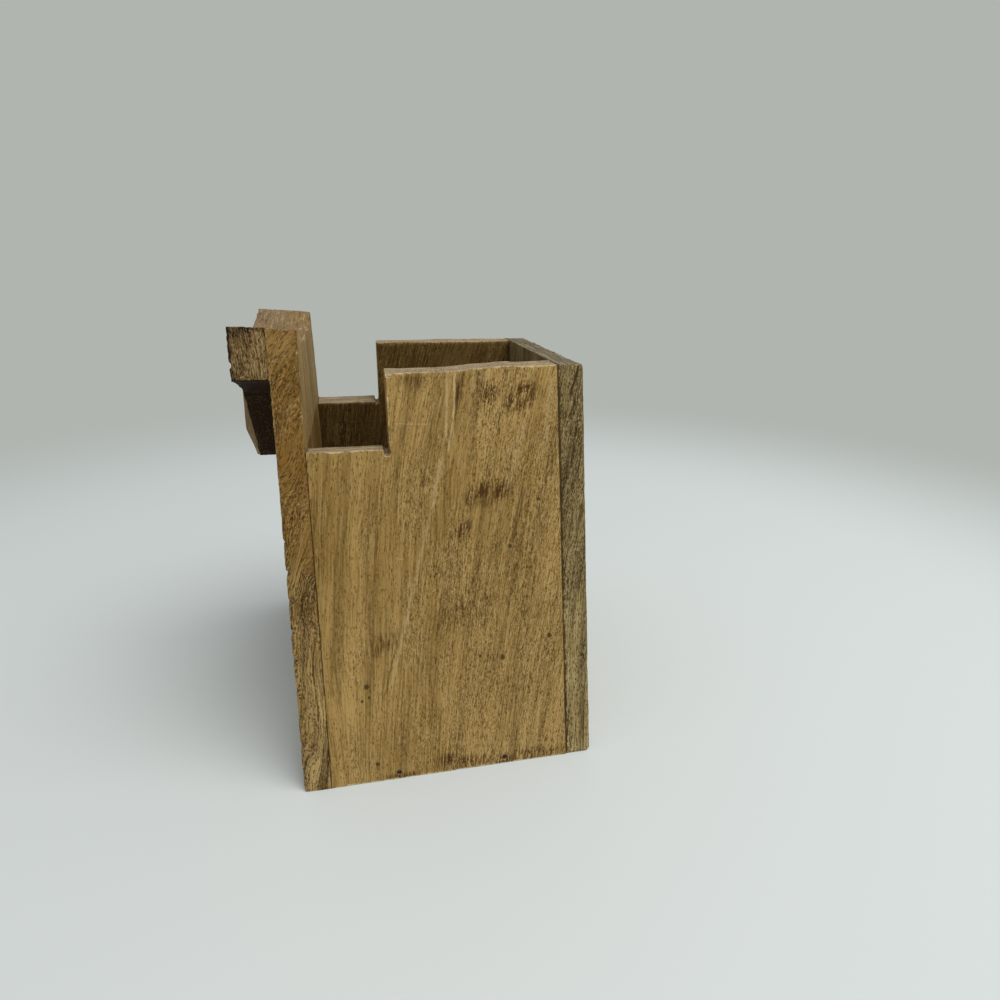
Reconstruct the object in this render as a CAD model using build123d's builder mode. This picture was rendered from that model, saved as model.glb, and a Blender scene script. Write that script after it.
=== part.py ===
# Wooden pen holder with an owl's brow: a box whose sides lean in,
# with a tall front board, a carved brow-and-beak piece and a pinned floor.
# Millimetres. X runs across the box, the front faces -Y and Z is up from the table.
# The origin is on the table, in the middle of the whole holder.
import os
from math import cos, radians, sin, tan

from build123d import *

# The box
base_width = 96.0            # across the foot of the front and back boards
side_lean = 12.0             # degrees that both sides lean inwards
box_depth = 69.5             # front face of the front board to back face of the back board
wall_height = 93.5           # side boards and back board
tower_height = 102.0         # ear points of the front board
front_thickness = 6.2
back_thickness = 6.4
side_thickness = 7.0
base_thickness = 3.0
edge_ease = 0.6              # worn arrises
back_edge_ease = 1.2         # the back board's outer arrises are worn rounder

# Notch in both side boards, behind the front board
notch_length = 17.8          # from the front board's inner face to the step
notch_depth = 17.0           # below the top of the wall
notch_fall = 6.0             # degrees that its floor falls towards the inside
kerf_width = 1.0             # saw cut that ran past the inner corner
kerf_depth = 1.5

# Front board
crown_dip = 4.1              # flat of the head, below the two ear points
ear_run = 14.0               # across the board, from an ear point to that flat
crown_round = 20.0           # radius of the curve from the flat up to an ear
feather_rows = 8
feathers_per_half = 5.25     # along half the board; the quarter keeps the run-outs level
first_row_height = 10.9
row_pitch = 6.6
feather_half_angle = 34.0    # degrees each side of a feather's tip
gouge_width = 1.7
gouge_depth = 0.9
eye_spread = 19.0            # eye centre from the middle
eye_drop = 25.5              # below the ear points
eye_ring_radius = 8.6
iris_ring_radius = 5.4
pupil_radius = 2.2
pupil_depth = 1.2

# Brow-and-beak piece, glued to the front board
brow_thickness = 7.7
brow_end_height = 10.4       # height of the brow's square ends
brow_line_drop = 7.6         # gouged line, below the brow's top edge
brow_line_gap = 6.0          # plain stretch each side of the middle
brow_arch_rise = 0.8         # sagitta of the arch over each eye
beak_shoulder = 15.0         # half width where the beak leaves the brow
beak_tip_width = 3.0
beak_crown_drop = 11.0       # below the ear points: the ridge runs out into the brow
beak_shoulder_drop = 15.4
beak_full_drop = 27.0        # where the ridge stands out most
beak_tip_drop = 34.0
beak_rise_top = 2.0          # ridge in front of the brow, at the shoulders
beak_rise = 2.8              # at the fullest part
beak_rise_tip = 0.8

# Panel pins through the sides into the floor's edges
pin_diameter = 1.2
pin_length = 15.0
pin_end_distance = 15.6      # from the inner faces of the front and back boards
pin_sink = 0.4               # below the side's outer face
pin_clearance = 0.05         # all round a pin

overrun = 2.0                # cutters reach this far past what they cut

# Places worked out from the sizes
front_reach = brow_thickness + beak_rise
front_y = front_reach - (box_depth + front_reach) / 2
inner_front_y = front_y + front_thickness
inner_back_y = front_y + box_depth - back_thickness
inner_depth = inner_back_y - inner_front_y
brow_front_y = front_y - brow_thickness
side_run = tan(radians(side_lean))
side_wall = side_thickness / cos(radians(side_lean))
notch_floor = wall_height - notch_depth
notch_run = tan(radians(notch_fall))
notch_step_y = inner_front_y + notch_length
crown_level = tower_height - crown_dip
eye_height = tower_height - eye_drop
brow_end = tower_height - brow_end_height
beak_shoulder_height = tower_height - beak_shoulder_drop
beak_tip_height = tower_height - beak_tip_drop
beak_crown_height = tower_height - beak_crown_drop
pin_height = base_thickness / 2
pin_places = [(inner_front_y + pin_end_distance, pin_height), (inner_back_y - pin_end_distance, pin_height)]


def half_width(height):
    return base_width / 2 - height * side_run


def inner_half_width(height):
    return half_width(height) - side_wall


# Height of the sloping notch floor, which is level with notch_floor at the side's outer face
def notch_height(x):
    return notch_floor + (x - half_width(notch_floor)) * notch_run


# Top edge of the front board and of the brow, from the right ear to the left one
crown_flat = half_width(tower_height) - ear_run
crown_points = [
    (half_width(tower_height), tower_height),
    (crown_flat, crown_level),
    (-crown_flat, crown_level),
    (-half_width(tower_height), tower_height),
]


# Height of the flat of the head and of the straight slopes that climb from it to the ears
def crown_height(x):
    return crown_level + crown_dip * max(x - crown_flat, 0) / ear_run


# Rounds the two inner corners of the crown, in the sketch that is open
def round_crown():
    fillet(vertices().group_by(Axis.Y)[-2], radius=crown_round)


# A plane that faces the front, at a given depth
def front_plane(y):
    return Plane.XZ.offset(-y)


# V section of the carving gouge, pointing into the wood along a sketch's X from the face at X = 0
def gouge_points(middle):
    reach = gouge_width / 2 * (gouge_depth + overrun) / gouge_depth
    return [(gouge_depth, middle), (-overrun, middle + reach), (-overrun, middle - reach)]


# One U-shaped feather cut: the gouge turned about the middle of the feather's arc
def feather_cut(feather_width):
    bend = feather_width / (2 * sin(radians(feather_half_angle)))
    with BuildPart() as cut:
        with BuildSketch(Plane.YZ):
            with BuildLine():
                Polyline(gouge_points(-bend), close=True)
            make_face()
        revolve(axis=Axis.Y, revolution_arc=2 * feather_half_angle)
    return cut.part.rotate(Axis.Y, -feather_half_angle).moved(Pos(0, 0, bend))


# A round gouged ring, about the Y axis
def ring_cut(radius):
    with BuildPart() as cut:
        with BuildSketch(Plane.YZ):
            with BuildLine():
                Polyline(gouge_points(radius), close=True)
            make_face()
        revolve(axis=Axis.Y)
    return cut.part


# Feather cuts for the whole breast, every other row half a feather aside
feather_cuts = []
for row in range(feather_rows):
    row_height = first_row_height + row * row_pitch
    feather_width = half_width(row_height) / feathers_per_half
    feather = feather_cut(feather_width)
    shift = row % 2 / 2
    count = int(feathers_per_half) + 1
    for place in range(-count, count + 1):
        x = (place + shift) * feather_width
        feather_cuts.append(feather.moved(Pos(x, front_y, row_height)))

eye_cuts = []
for side in (-1, 1):
    for radius in (eye_ring_radius, iris_ring_radius):
        eye_cuts.append(ring_cut(radius).moved(Pos(side * eye_spread, front_y, eye_height)))

# Front board: a tall trapezoid with two ear points
with BuildPart() as front_board:
    with BuildSketch(front_plane(inner_front_y)):
        with BuildLine():
            Polyline((-half_width(0), 0), (half_width(0), 0), *crown_points, close=True)
        make_face()
        round_crown()
    extrude(amount=front_thickness)
    add(feather_cuts, mode=Mode.SUBTRACT)
    add(eye_cuts, mode=Mode.SUBTRACT)
    with BuildSketch(front_plane(front_y)):
        with Locations((-eye_spread, eye_height), (eye_spread, eye_height)):
            Circle(pupil_radius)
    extrude(amount=-pupil_depth, mode=Mode.SUBTRACT)

# Back board: a plain trapezoid as high as the sides
with BuildPart() as back_board:
    with BuildSketch(front_plane(inner_back_y + back_thickness)):
        with BuildLine():
            Polyline(
                (-half_width(0), 0),
                (half_width(0), 0),
                (half_width(wall_height), wall_height),
                (-half_width(wall_height), wall_height),
                close=True,
            )
        make_face()
    extrude(amount=back_thickness)
    outer_face = back_board.faces().sort_by(Axis.Y)[-1]
    fillet(outer_face.edges(), radius=back_edge_ease)

# Side boards: leaning walls between front and back, stepped down behind the front board
with BuildPart() as right_side_board:
    with BuildSketch(front_plane(inner_back_y)):
        with BuildLine():
            Polyline(
                (inner_half_width(0), 0),
                (half_width(0), 0),
                (half_width(wall_height), wall_height),
                (inner_half_width(wall_height), wall_height),
                close=True,
            )
        make_face()
    extrude(amount=inner_depth)
    with BuildSketch(front_plane(notch_step_y)):
        with BuildLine():
            Polyline(
                (0, notch_height(0)),
                (base_width, notch_height(base_width)),
                (base_width, wall_height + base_width),
                (0, wall_height + base_width),
                close=True,
            )
        make_face()
    extrude(amount=notch_length + overrun, mode=Mode.SUBTRACT)
    long_edges = right_side_board.edges().filter_by(Axis.Y)
    floor_edge = long_edges.group_by(Axis.Z)[0].sort_by(Axis.X)[0]
    fillet(long_edges - [floor_edge], radius=edge_ease)
    with BuildSketch(Plane.YZ):
        with Locations((notch_step_y, notch_floor)):
            Rectangle(kerf_width, 2 * kerf_depth, align=(Align.MAX, Align.CENTER))
        with Locations(pin_places):
            Circle(pin_diameter / 2 + pin_clearance)
    extrude(amount=base_width, mode=Mode.SUBTRACT)

with BuildPart() as left_side_board:
    mirror(right_side_board.part, about=Plane.YZ)

# Floor: a thin panel let in between the four boards, drilled for the pins
with BuildPart() as base_board:
    with BuildSketch(front_plane(inner_back_y)):
        with BuildLine():
            Polyline(
                (-inner_half_width(0), 0),
                (inner_half_width(0), 0),
                (inner_half_width(base_thickness), base_thickness),
                (-inner_half_width(base_thickness), base_thickness),
                close=True,
            )
        make_face()
    extrude(amount=inner_depth)
    for side in (-1, 1):
        drill_depth = half_width(pin_height) - pin_sink - pin_length - pin_clearance
        with BuildSketch(Plane.YZ.offset(side * drill_depth)):
            with Locations(pin_places):
                Circle(pin_diameter / 2 + pin_clearance)
        extrude(amount=side * base_width, mode=Mode.SUBTRACT)

# Four headless pins
with BuildPart() as base_pins:
    with BuildSketch(Plane.YZ.offset(half_width(pin_height) - pin_sink - pin_length)):
        with Locations(pin_places):
            Circle(pin_diameter / 2)
    extrude(amount=pin_length)
    mirror(about=Plane.YZ)


# Half width of the beak at a height, along its straight flanks
def beak_half_width(height):
    climb = (height - beak_tip_height) / (beak_shoulder_height - beak_tip_height)
    return beak_tip_width / 2 + climb * (beak_shoulder - beak_tip_width / 2)


# Brow and beak: a flat piece sawn to shape, with a ridged beak and a gouged brow line
beak_ridge = [
    (beak_shoulder_height, beak_rise_top),
    (tower_height - beak_full_drop, beak_rise),
    (beak_tip_height, beak_rise_tip),
]
with BuildPart() as brow_and_beak:
    with BuildSketch(front_plane(front_y)):
        with BuildLine():
            Polyline(
                (beak_shoulder, beak_shoulder_height),
                (beak_tip_width / 2, beak_tip_height),
                (-beak_tip_width / 2, beak_tip_height),
                (-beak_shoulder, beak_shoulder_height),
            )
            SagittaArc((-beak_shoulder, beak_shoulder_height), (-half_width(brow_end), brow_end), -brow_arch_rise)
            Polyline((half_width(brow_end), brow_end), *crown_points, (-half_width(brow_end), brow_end))
            SagittaArc((half_width(brow_end), brow_end), (beak_shoulder, beak_shoulder_height), -brow_arch_rise)
        make_face()
        round_crown()
    extrude(amount=brow_thickness)
    beak_sections = [Vertex(0, brow_front_y, beak_crown_height)]
    for height, rise in beak_ridge:
        half = beak_half_width(height)
        with BuildSketch(Plane.XY.offset(height), mode=Mode.PRIVATE) as section:
            with BuildLine():
                Polyline((-half, brow_front_y), (0, brow_front_y - rise), (half, brow_front_y), close=True)
            make_face()
        beak_sections.append(section.sketch)
    loft(beak_sections, ruled=True)
    for side in (-1, 1):
        line_start = Vector(side * brow_line_gap, brow_front_y, crown_height(brow_line_gap) - brow_line_drop)
        line_reach = half_width(brow_end) + overrun
        line_end = Vector(side * line_reach, brow_front_y, crown_height(line_reach) - brow_line_drop)
        run = line_end - line_start
        with BuildSketch(Plane(line_start, x_dir=(0, 1, 0), z_dir=run)):
            with BuildLine():
                Polyline(gouge_points(0), close=True)
            make_face()
        extrude(amount=run.length, mode=Mode.SUBTRACT)

os.makedirs("parts", exist_ok=True)
pieces = {
    "front_board": front_board,
    "back_board": back_board,
    "right_side_board": right_side_board,
    "left_side_board": left_side_board,
    "base_board": base_board,
    "base_pins": base_pins,
    "brow_and_beak": brow_and_beak,
}
for name, piece in pieces.items():
    piece.part.label = name
    export_step(piece.part, f"parts/{name}.step")
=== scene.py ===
import math

import bmesh
import bpy
from mathutils import Matrix, Vector, kdtree, noise


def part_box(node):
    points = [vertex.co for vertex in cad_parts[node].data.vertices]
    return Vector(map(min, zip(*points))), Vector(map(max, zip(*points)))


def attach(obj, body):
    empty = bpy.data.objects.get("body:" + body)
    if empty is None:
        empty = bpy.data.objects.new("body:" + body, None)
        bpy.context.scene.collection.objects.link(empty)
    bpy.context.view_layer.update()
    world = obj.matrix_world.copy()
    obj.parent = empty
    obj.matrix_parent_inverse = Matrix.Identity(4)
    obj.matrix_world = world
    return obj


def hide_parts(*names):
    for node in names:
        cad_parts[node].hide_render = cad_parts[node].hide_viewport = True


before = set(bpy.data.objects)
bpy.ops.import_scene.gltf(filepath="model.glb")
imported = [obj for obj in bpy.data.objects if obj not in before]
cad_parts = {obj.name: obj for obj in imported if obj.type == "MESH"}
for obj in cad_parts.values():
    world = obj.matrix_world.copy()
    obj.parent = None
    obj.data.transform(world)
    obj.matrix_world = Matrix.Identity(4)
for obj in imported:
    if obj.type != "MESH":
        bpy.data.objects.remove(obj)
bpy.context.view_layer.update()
mm = 0.001
print("frame loaded:", len(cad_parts), "nodes")

# Measures taken from the frame
frontLow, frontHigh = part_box("front_board")
backLow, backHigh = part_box("back_board")
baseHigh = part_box("base_board")[1]

holder = {
    "leanDegrees": 12.0,  # both sides lean in
    "crownDip": 4.1 * mm,  # flat of the head, below the ear points
    "earRun": 14.0 * mm,  # across the board, from an ear point to that flat
    "crownBend": 2.9 * mm,  # half the curve between them
    "crownTilt": 0.045,  # the flat is sawn a little askew
    "crownFall": 0.8 * mm,  # from the brow's face to the front board's back
    "crownCuts": 24,
    "browThickness": 7.7 * mm,
    "browEnd": 10.4 * mm,  # height of the brow's ends
    "notchLength": 17.8 * mm,
    "notchDepth": 17.0 * mm,
    "notchFall": 6.0,  # degrees, towards the inside
    "wearReach": 3.0 * mm,  # how far from an arris the marks still tell its distance
    "sharpAngle": 50.0,  # degrees between two faces that meet in an arris
    "smoothAngle": 40.0,
    "boreSides": 20,
    "bumpReach": 0.3 * mm,
    "gloss": 0.1,  # bare wood hardly shines
}
cutTolerance = 1e-7
tiny = 1e-6
leanRun = math.tan(math.radians(holder["leanDegrees"]))
footHalf = frontHigh.x
wallTop = backHigh.z
earTop = frontHigh.z
sideWall = footHalf - baseHigh.x
frontFaceY, innerFrontY = frontLow.y, frontHigh.y
innerBackY, backFaceY = backLow.y, backHigh.y
browFaceY = frontFaceY - holder["browThickness"]
browFoot = earTop - holder["browEnd"]
notchStepY = innerFrontY + holder["notchLength"]
notchFloorZ = wallTop - holder["notchDepth"]


def halfWidth(height):
    return footHalf - height * leanRun


def easeIn(value, start, end):
    share = min(1.0, max(0.0, (value - start) / (end - start)))
    return share * share * (3 - 2 * share)


# Top edge of the front board and the brow: a flat head that curves up to the ears
def crownHeight(x):
    half, bend = halfWidth(earTop), holder["crownBend"]
    past = abs(x) - half + holder["earRun"]
    curve = min(max(past + bend, 0.0), 2 * bend)
    climb = curve * curve / (4 * bend) + max(past - bend, 0.0)
    askew = holder["crownTilt"] * x * (1 - (x / half) ** 2)
    return earTop - holder["crownDip"] + climb * holder["crownDip"] / holder["earRun"] - askew


# Bench work: one piece at a time
def clearSelection():
    if bpy.context.mode != "OBJECT":
        bpy.ops.object.mode_set(mode="OBJECT")
    bpy.ops.object.select_all(action="DESELECT")


def takeUp(piece):
    clearSelection()
    piece.select_set(True)
    bpy.context.view_layer.objects.active = piece


def sawnBlock(name, low, high):
    clearSelection()
    middle = [(a + b) / 2 for a, b in zip(low, high)]
    size = [b - a for a, b in zip(low, high)]
    bpy.ops.mesh.primitive_cube_add(size=1, location=middle, scale=size)
    block = bpy.context.object
    block.name = name
    block.data.name = name
    bpy.ops.object.transform_apply(location=True, rotation=True, scale=True)
    return block


def editAll(piece):
    takeUp(piece)
    bpy.ops.object.mode_set(mode="EDIT")
    bpy.ops.mesh.select_all(action="SELECT")


def sawOff(piece, point, outward):
    editAll(piece)
    bpy.ops.mesh.bisect(
        plane_co=point,
        plane_no=outward,
        use_fill=True,
        clear_outer=True,
        threshold=cutTolerance,
    )
    bpy.ops.object.mode_set(mode="OBJECT")


def pickVerts(piece, wanted):
    takeUp(piece)
    bpy.ops.object.mode_set(mode="EDIT")
    bpy.ops.mesh.select_mode(type="VERT")
    bpy.ops.mesh.select_all(action="DESELECT")
    bpy.ops.object.mode_set(mode="OBJECT")
    for vertex in piece.data.vertices:
        vertex.select = wanted(vertex.co)
    bpy.ops.object.mode_set(mode="EDIT")


def cutAway(piece, cutter):
    cut = piece.modifiers.new("cut", "BOOLEAN")
    cut.operation = "DIFFERENCE"
    cut.solver = "EXACT"
    cut.object = cutter
    takeUp(piece)
    bpy.ops.object.modifier_apply(modifier=cut.name)
    bpy.data.objects.remove(cutter, do_unlink=True)


def boreHole(piece, radius, y, z):
    clearSelection()
    bpy.ops.mesh.primitive_cylinder_add(
        vertices=holder["boreSides"],
        radius=radius,
        depth=4 * sideWall,
        location=(0, y, z),
        rotation=(0, math.pi / 2, 0),
    )
    cutAway(piece, bpy.context.object)


# Cuts across the top, each then pushed to the crown's line
def shapeCrown(piece):
    takeUp(piece)
    bpy.ops.object.mode_set(mode="EDIT")
    for step in range(1, holder["crownCuts"]):
        across = halfWidth(earTop) * (2 * step / holder["crownCuts"] - 1)
        bpy.ops.mesh.select_all(action="SELECT")
        bpy.ops.mesh.bisect(plane_co=(across, 0, 0), plane_no=(1, 0, 0), threshold=cutTolerance)
    bpy.ops.object.mode_set(mode="OBJECT")
    for vertex in piece.data.vertices:
        if vertex.co.z > earTop - tiny:
            fall = (innerFrontY - vertex.co.y) / (innerFrontY - browFaceY)
            vertex.co.z = crownHeight(vertex.co.x) + fall * holder["crownFall"]


def leanCuts(piece, footX):
    slope = Vector((1, 0, leanRun)).normalized()
    for side in (-1, 1):
        sawOff(piece, (side * footX, 0, 0), (side * slope.x, 0, slope.z))


# Points along a piece's outer arrises, to tell how close the wood is to an edge
def arrisTree(piece, spacing=0.15 * mm):
    shape = bmesh.new()
    shape.from_mesh(piece.data)
    points = []
    sharp = math.radians(holder["sharpAngle"])
    for edge in shape.edges:
        if len(edge.link_faces) == 2 and edge.is_convex and edge.calc_face_angle() > sharp:
            start, end = (vertex.co for vertex in edge.verts)
            count = max(2, int((end - start).length / spacing))
            points += [start.lerp(end, step / count) for step in range(count + 1)]
    shape.free()
    tree = kdtree.KDTree(len(points))
    for index, point in enumerate(points):
        tree.insert(point, index)
    tree.balance()
    return tree


# A dense even mesh with softly worn arrises
def fineMesh(piece, look):
    fine = piece.modifiers.new("fine", "REMESH")
    fine.mode = "VOXEL"
    fine.voxel_size = look["voxel"]
    soft = piece.modifiers.new("soft", "SMOOTH")
    soft.factor = look["softness"]
    soft.iterations = 1
    takeUp(piece)
    bpy.ops.object.modifier_apply(modifier=fine.name)
    bpy.ops.object.modifier_apply(modifier=soft.name)


# Distance to the nearest glued joint; each is a plane across Y with its lowest and highest point
def jointGap(place, joints):
    return min((abs(place.y - y) for y, low, high in joints if low <= place.z <= high), default=1.0)


# Pitches are turns of the noise per millimetre
handling = {
    "wavePitch": 0.06,
    "ripplePitch": 0.4,
    "flatRipple": 0.3,  # share of the ripple away from the arrises
    "chipPitch": 0.25,
    "chipStart": 0.05,
    "nickPitch": 1.1,
    "nicks": 0.6,
    "sawPitch": (1.3, 0.12),
    "topFace": 0.6,
    "jointShade": 0.08,  # arrises at a joint are less rubbed
}


# Years of handling: slow waves over the faces, chips along the arrises, saw marks on the sawn ends.
# Arrises at a glued joint stay crisp. shape gives a tool's cut or a worn spot as an offset;
# marks gives stain, scorch and tone (1 is pale); on some faces these carry painted shade.
def weather(piece, arrises, look, shape=None, marks=None):
    mesh = piece.data
    seed = Vector((look["seed"], look["seed"] * 1.7, -look["seed"]))
    layer = mesh.color_attributes.new("marks", "FLOAT_COLOR", "POINT")
    normals = [vertex.normal.copy() for vertex in mesh.vertices]
    for index, vertex in enumerate(mesh.vertices):
        place, normal = vertex.co.copy(), normals[index]
        nearest, _, toArris = arrises.find(place)
        if toArris < look["voxel"] and jointGap(nearest, look["joints"]) < tiny:
            place = nearest.copy()
        spot = place / mm
        edge = max(0.0, 1 - toArris / look["arrisReach"])
        loose = min(1.0, jointGap(place, look["joints"]) / look["jointCalm"])
        lift = noise.noise(spot * handling["wavePitch"] + seed) * look["wave"]
        ripple = noise.noise(spot * handling["ripplePitch"] + seed) * look["ripple"]
        lift += ripple * (handling["flatRipple"] + edge)
        chip = max(0.0, noise.noise(spot * handling["chipPitch"] - seed) - handling["chipStart"])
        chip += handling["nicks"] * max(0.0, noise.noise(spot * handling["nickPitch"] + seed))
        lift -= edge * chip * look["chip"] * loose
        if normal.z > handling["topFace"]:
            sawX, sawY = handling["sawPitch"]
            lift += look["sawMarks"] * noise.noise(Vector((spot.x * sawX, spot.y * sawY, look["seed"])))
        cut = shape(place, normal) if shape else Vector()
        vertex.co = place + normal * lift + cut
        vertex.co.z = max(vertex.co.z, 0.0)
        stain, scorchAndShade, tone = marks(place, normal, cut) if marks else (0.0, 0.0, 0.5)
        gap = toArris / holder["wearReach"] + handling["jointShade"] * (1 - loose)
        layer.data[index].color = [min(1.0, max(0.0, value)) for value in (gap, stain, scorchAndShade, tone)]
    mesh.update()


def finishPiece(piece, node, material):
    takeUp(piece)
    bpy.ops.object.shade_smooth_by_angle(angle=math.radians(holder["smoothAngle"]))
    piece.data.materials.clear()
    piece.data.materials.append(material)
    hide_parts(node)
    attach(piece, "root")
    print(piece.name, "done:", len(piece.data.polygons), "faces")


# Node helpers. A new node goes into the tree of the sockets that feed it.
def newNode(kind, *values):
    tree = next(value.id_data for value in values if isinstance(value, bpy.types.NodeSocket))
    return tree.nodes.new("ShaderNode" + kind)


def feed(socket, value):
    if isinstance(value, bpy.types.NodeSocket):
        socket.id_data.links.new(value, socket)
    elif value is not None:
        socket.default_value = value


def feedAll(node, values):
    for socket, value in zip(node.inputs, values):
        feed(socket, value)
    return node.outputs[0]


def calc(operation, *values, clamp=False):
    node = newNode("Math", *values)
    node.operation = operation
    node.use_clamp = clamp
    return feedAll(node, values)


def times(first, second, clamp=False):
    return calc("MULTIPLY", first, second, clamp=clamp)


def minus(first, second):
    return calc("SUBTRACT", first, second)


def vectorCalc(operation, first, second):
    node = newNode("VectorMath", first, second)
    node.operation = operation
    feedAll(node, (first, second))
    return node.outputs["Value" if operation == "DOT_PRODUCT" else "Vector"]


def ramp(value, low, high, newLow=0.0, newHigh=1.0):
    node = newNode("MapRange", value)
    node.interpolation_type = "SMOOTHSTEP"
    return feedAll(node, (value, low, high, newLow, newHigh))


def blendColor(factor, first, second):
    node = newNode("Mix", factor)
    node.data_type = "RGBA"
    for index, value in ((0, factor), (6, first), (7, second)):
        feed(node.inputs[index], value)
    return node.outputs[2]


def noiseFac(vector, scale, detail=2.0, roughness=0.5):
    node = newNode("TexNoise", vector)
    values = {"Vector": vector, "Scale": scale, "Detail": detail, "Roughness": roughness}
    for title, value in values.items():
        feed(node.inputs[title], value)
    return node.outputs["Fac"]


# Distance to the middle of the nearest cell, and that cell's random number
def cells(vector):
    node = newNode("TexVoronoi", vector)
    feed(node.inputs["Vector"], vector)
    feed(node.inputs["Scale"], 1.0)
    return node.outputs["Distance"], splitXyz(node.outputs["Color"])[0]


def splitXyz(vector):
    node = newNode("SeparateXYZ", vector)
    feed(node.inputs[0], vector)
    return node.outputs


def joinXyz(x, y, z):
    return feedAll(newNode("CombineXYZ", x, y, z), (x, y, z))


def newGroup(name, inputs, outputs):
    group = bpy.data.node_groups.new(name, "ShaderNodeTree")
    for title, kind, value in inputs:
        socket = group.interface.new_socket(name=title, in_out="INPUT", socket_type=kind)
        if value is not None:
            socket.default_value = value
    for title, kind in outputs:
        group.interface.new_socket(name=title, in_out="OUTPUT", socket_type=kind)
    start = group.nodes.new("NodeGroupInput")
    end = group.nodes.new("NodeGroupOutput")
    return group, start.outputs, end.inputs


def useGroup(tree, group, values):
    node = tree.nodes.new("ShaderNodeGroup")
    node.node_tree = group
    for title, value in values.items():
        feed(node.inputs[title], value)
    return node.outputs


grainMasks = ("Broad", "Figure", "Lines", "Sheen", "Fibre", "Pores", "Cracks", "Ends", "Mottle")


# Grain: X across the board, Y through it and Z along the fibres, in millimetres. Slant, Bend and Taper
# turn the fibres across the face; Dive, Turn (above Turn Start) and Curl lead them through the board where
# its sawn edge shows, and Fade quietens them there. Wander lets them drift, and with Calm the wood gets
# quieter towards low X.
def grainGroup():
    number = "NodeSocketFloat"
    settings = ("Edge", "Slant", "Bend", "Taper", "Dive", "Turn", "Turn Start", "Curl", "Wander")
    settings += ("Pore Density", "Fade", "Calm")
    inputs = [("Vector", "NodeSocketVector", None)] + [(title, number, 0.0) for title in settings]
    group, start, end = newGroup("boardGrain", inputs, [(title, number) for title in grainMasks])
    x, y, z = splitXyz(start["Vector"])

    def stretched(across, along, shift=0.0):
        return joinXyz(
            calc("MULTIPLY_ADD", x, across, shift),
            calc("MULTIPLY_ADD", y, across, -shift),
            times(z, along),
        )

    # Noise drawn out along the fibres, and the same about zero
    def drawnOut(across, along, shift=0.0, detail=2, roughness=0.5):
        return noiseFac(stretched(across, along, shift), 1.0, detail, roughness)

    def swinging(*drawing):
        return minus(drawnOut(*drawing), 0.5)

    endways = joinXyz(times(x, 0.11), times(y, 1.7), z)
    feed(end["Ends"], noiseFac(endways, 1.0, 3, 0.6))
    taper = minus(1.0, times(z, start["Taper"]))
    slant = calc("MULTIPLY_ADD", z, start["Bend"], start["Slant"])
    x = calc("DIVIDE", minus(x, times(z, slant)), taper)
    bent = calc("SMOOTH_MAX", minus(z, start["Turn Start"]), 0.0, 25.0)
    dive = calc("MULTIPLY_ADD", start["Turn"], bent, times(z, start["Dive"]))
    dive = calc("MULTIPLY_ADD", swinging(0.16, 0.075, 3.0, 1), start["Curl"], dive)
    y = minus(y, times(dive, start["Edge"]))
    driftX, driftY = swinging(0.045, 0.018), swinging(0.045, 0.018, 9.0)
    x = calc("MULTIPLY_ADD", driftX, start["Wander"], x)
    y = calc("MULTIPLY_ADD", driftY, start["Wander"], y)
    feed(end["Broad"], drawnOut(0.09, 0.006))
    faded = times(start["Fade"], start["Edge"])
    clear = minus(1.0, times(faded, ramp(bent, 8.0, 25.0)))
    feed(end["Figure"], times(drawnOut(0.4, 0.014, 0.0, 4, 0.6), clear))
    veins = drawnOut(1.9, 0.05, 31.0)
    feed(end["Lines"], times(ramp(veins, 0.56, 0.66), clear))
    feed(end["Sheen"], times(ramp(veins, 0.42, 0.26), clear))
    where = drawnOut(0.14, 0.05, 83.0)
    where = calc("MULTIPLY_ADD", minus(x, 12.0), start["Calm"], where)
    fibre = times(times(swinging(3.8, 0.5, 5.0, 2, 0.65), 0.8), clear)
    grit = swinging(3.3, 1.7, 91.0, 2, 0.6)
    fibre = calc("MULTIPLY_ADD", grit, 0.75, fibre)
    fibre = calc("MULTIPLY_ADD", fibre, ramp(where, 0.36, 0.62, 0.4, 1.35), 0.5)
    threads = times(swinging(2.6, 0.07, 47.0, 3, 0.7), clear)
    threads = times(threads, ramp(where, 0.25, 0.45, 0.5, 1.0))
    threadShare = ramp(where, 0.4, 0.62, 0.8, 0.4)
    feed(end["Fibre"], calc("MULTIPLY_ADD", threads, threadShare, fibre))
    feed(end["Mottle"], drawnOut(2.3, 0.33, 57.0, 3, 0.65))
    density = calc("MULTIPLY_ADD", drawnOut(0.13, 0.06, 13.0), 1.3, start["Pore Density"])
    strokes = []
    for across, along, shift in ((2.1, 0.6, 17.0), (3.0, 1.0, 43.0)):
        gap, pick = cells(stretched(across, along, shift))
        kept = ramp(minus(density, pick), 0.0, 0.15)
        strokes.append(times(ramp(gap, 0.4, 0.15), kept))
    feed(end["Pores"], calc("MAXIMUM", *strokes))
    seams = calc("ABSOLUTE", swinging(0.5, 0.022, 71.0))
    feed(end["Cracks"], ramp(seams, 0.03, 0.008))
    return group


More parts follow.
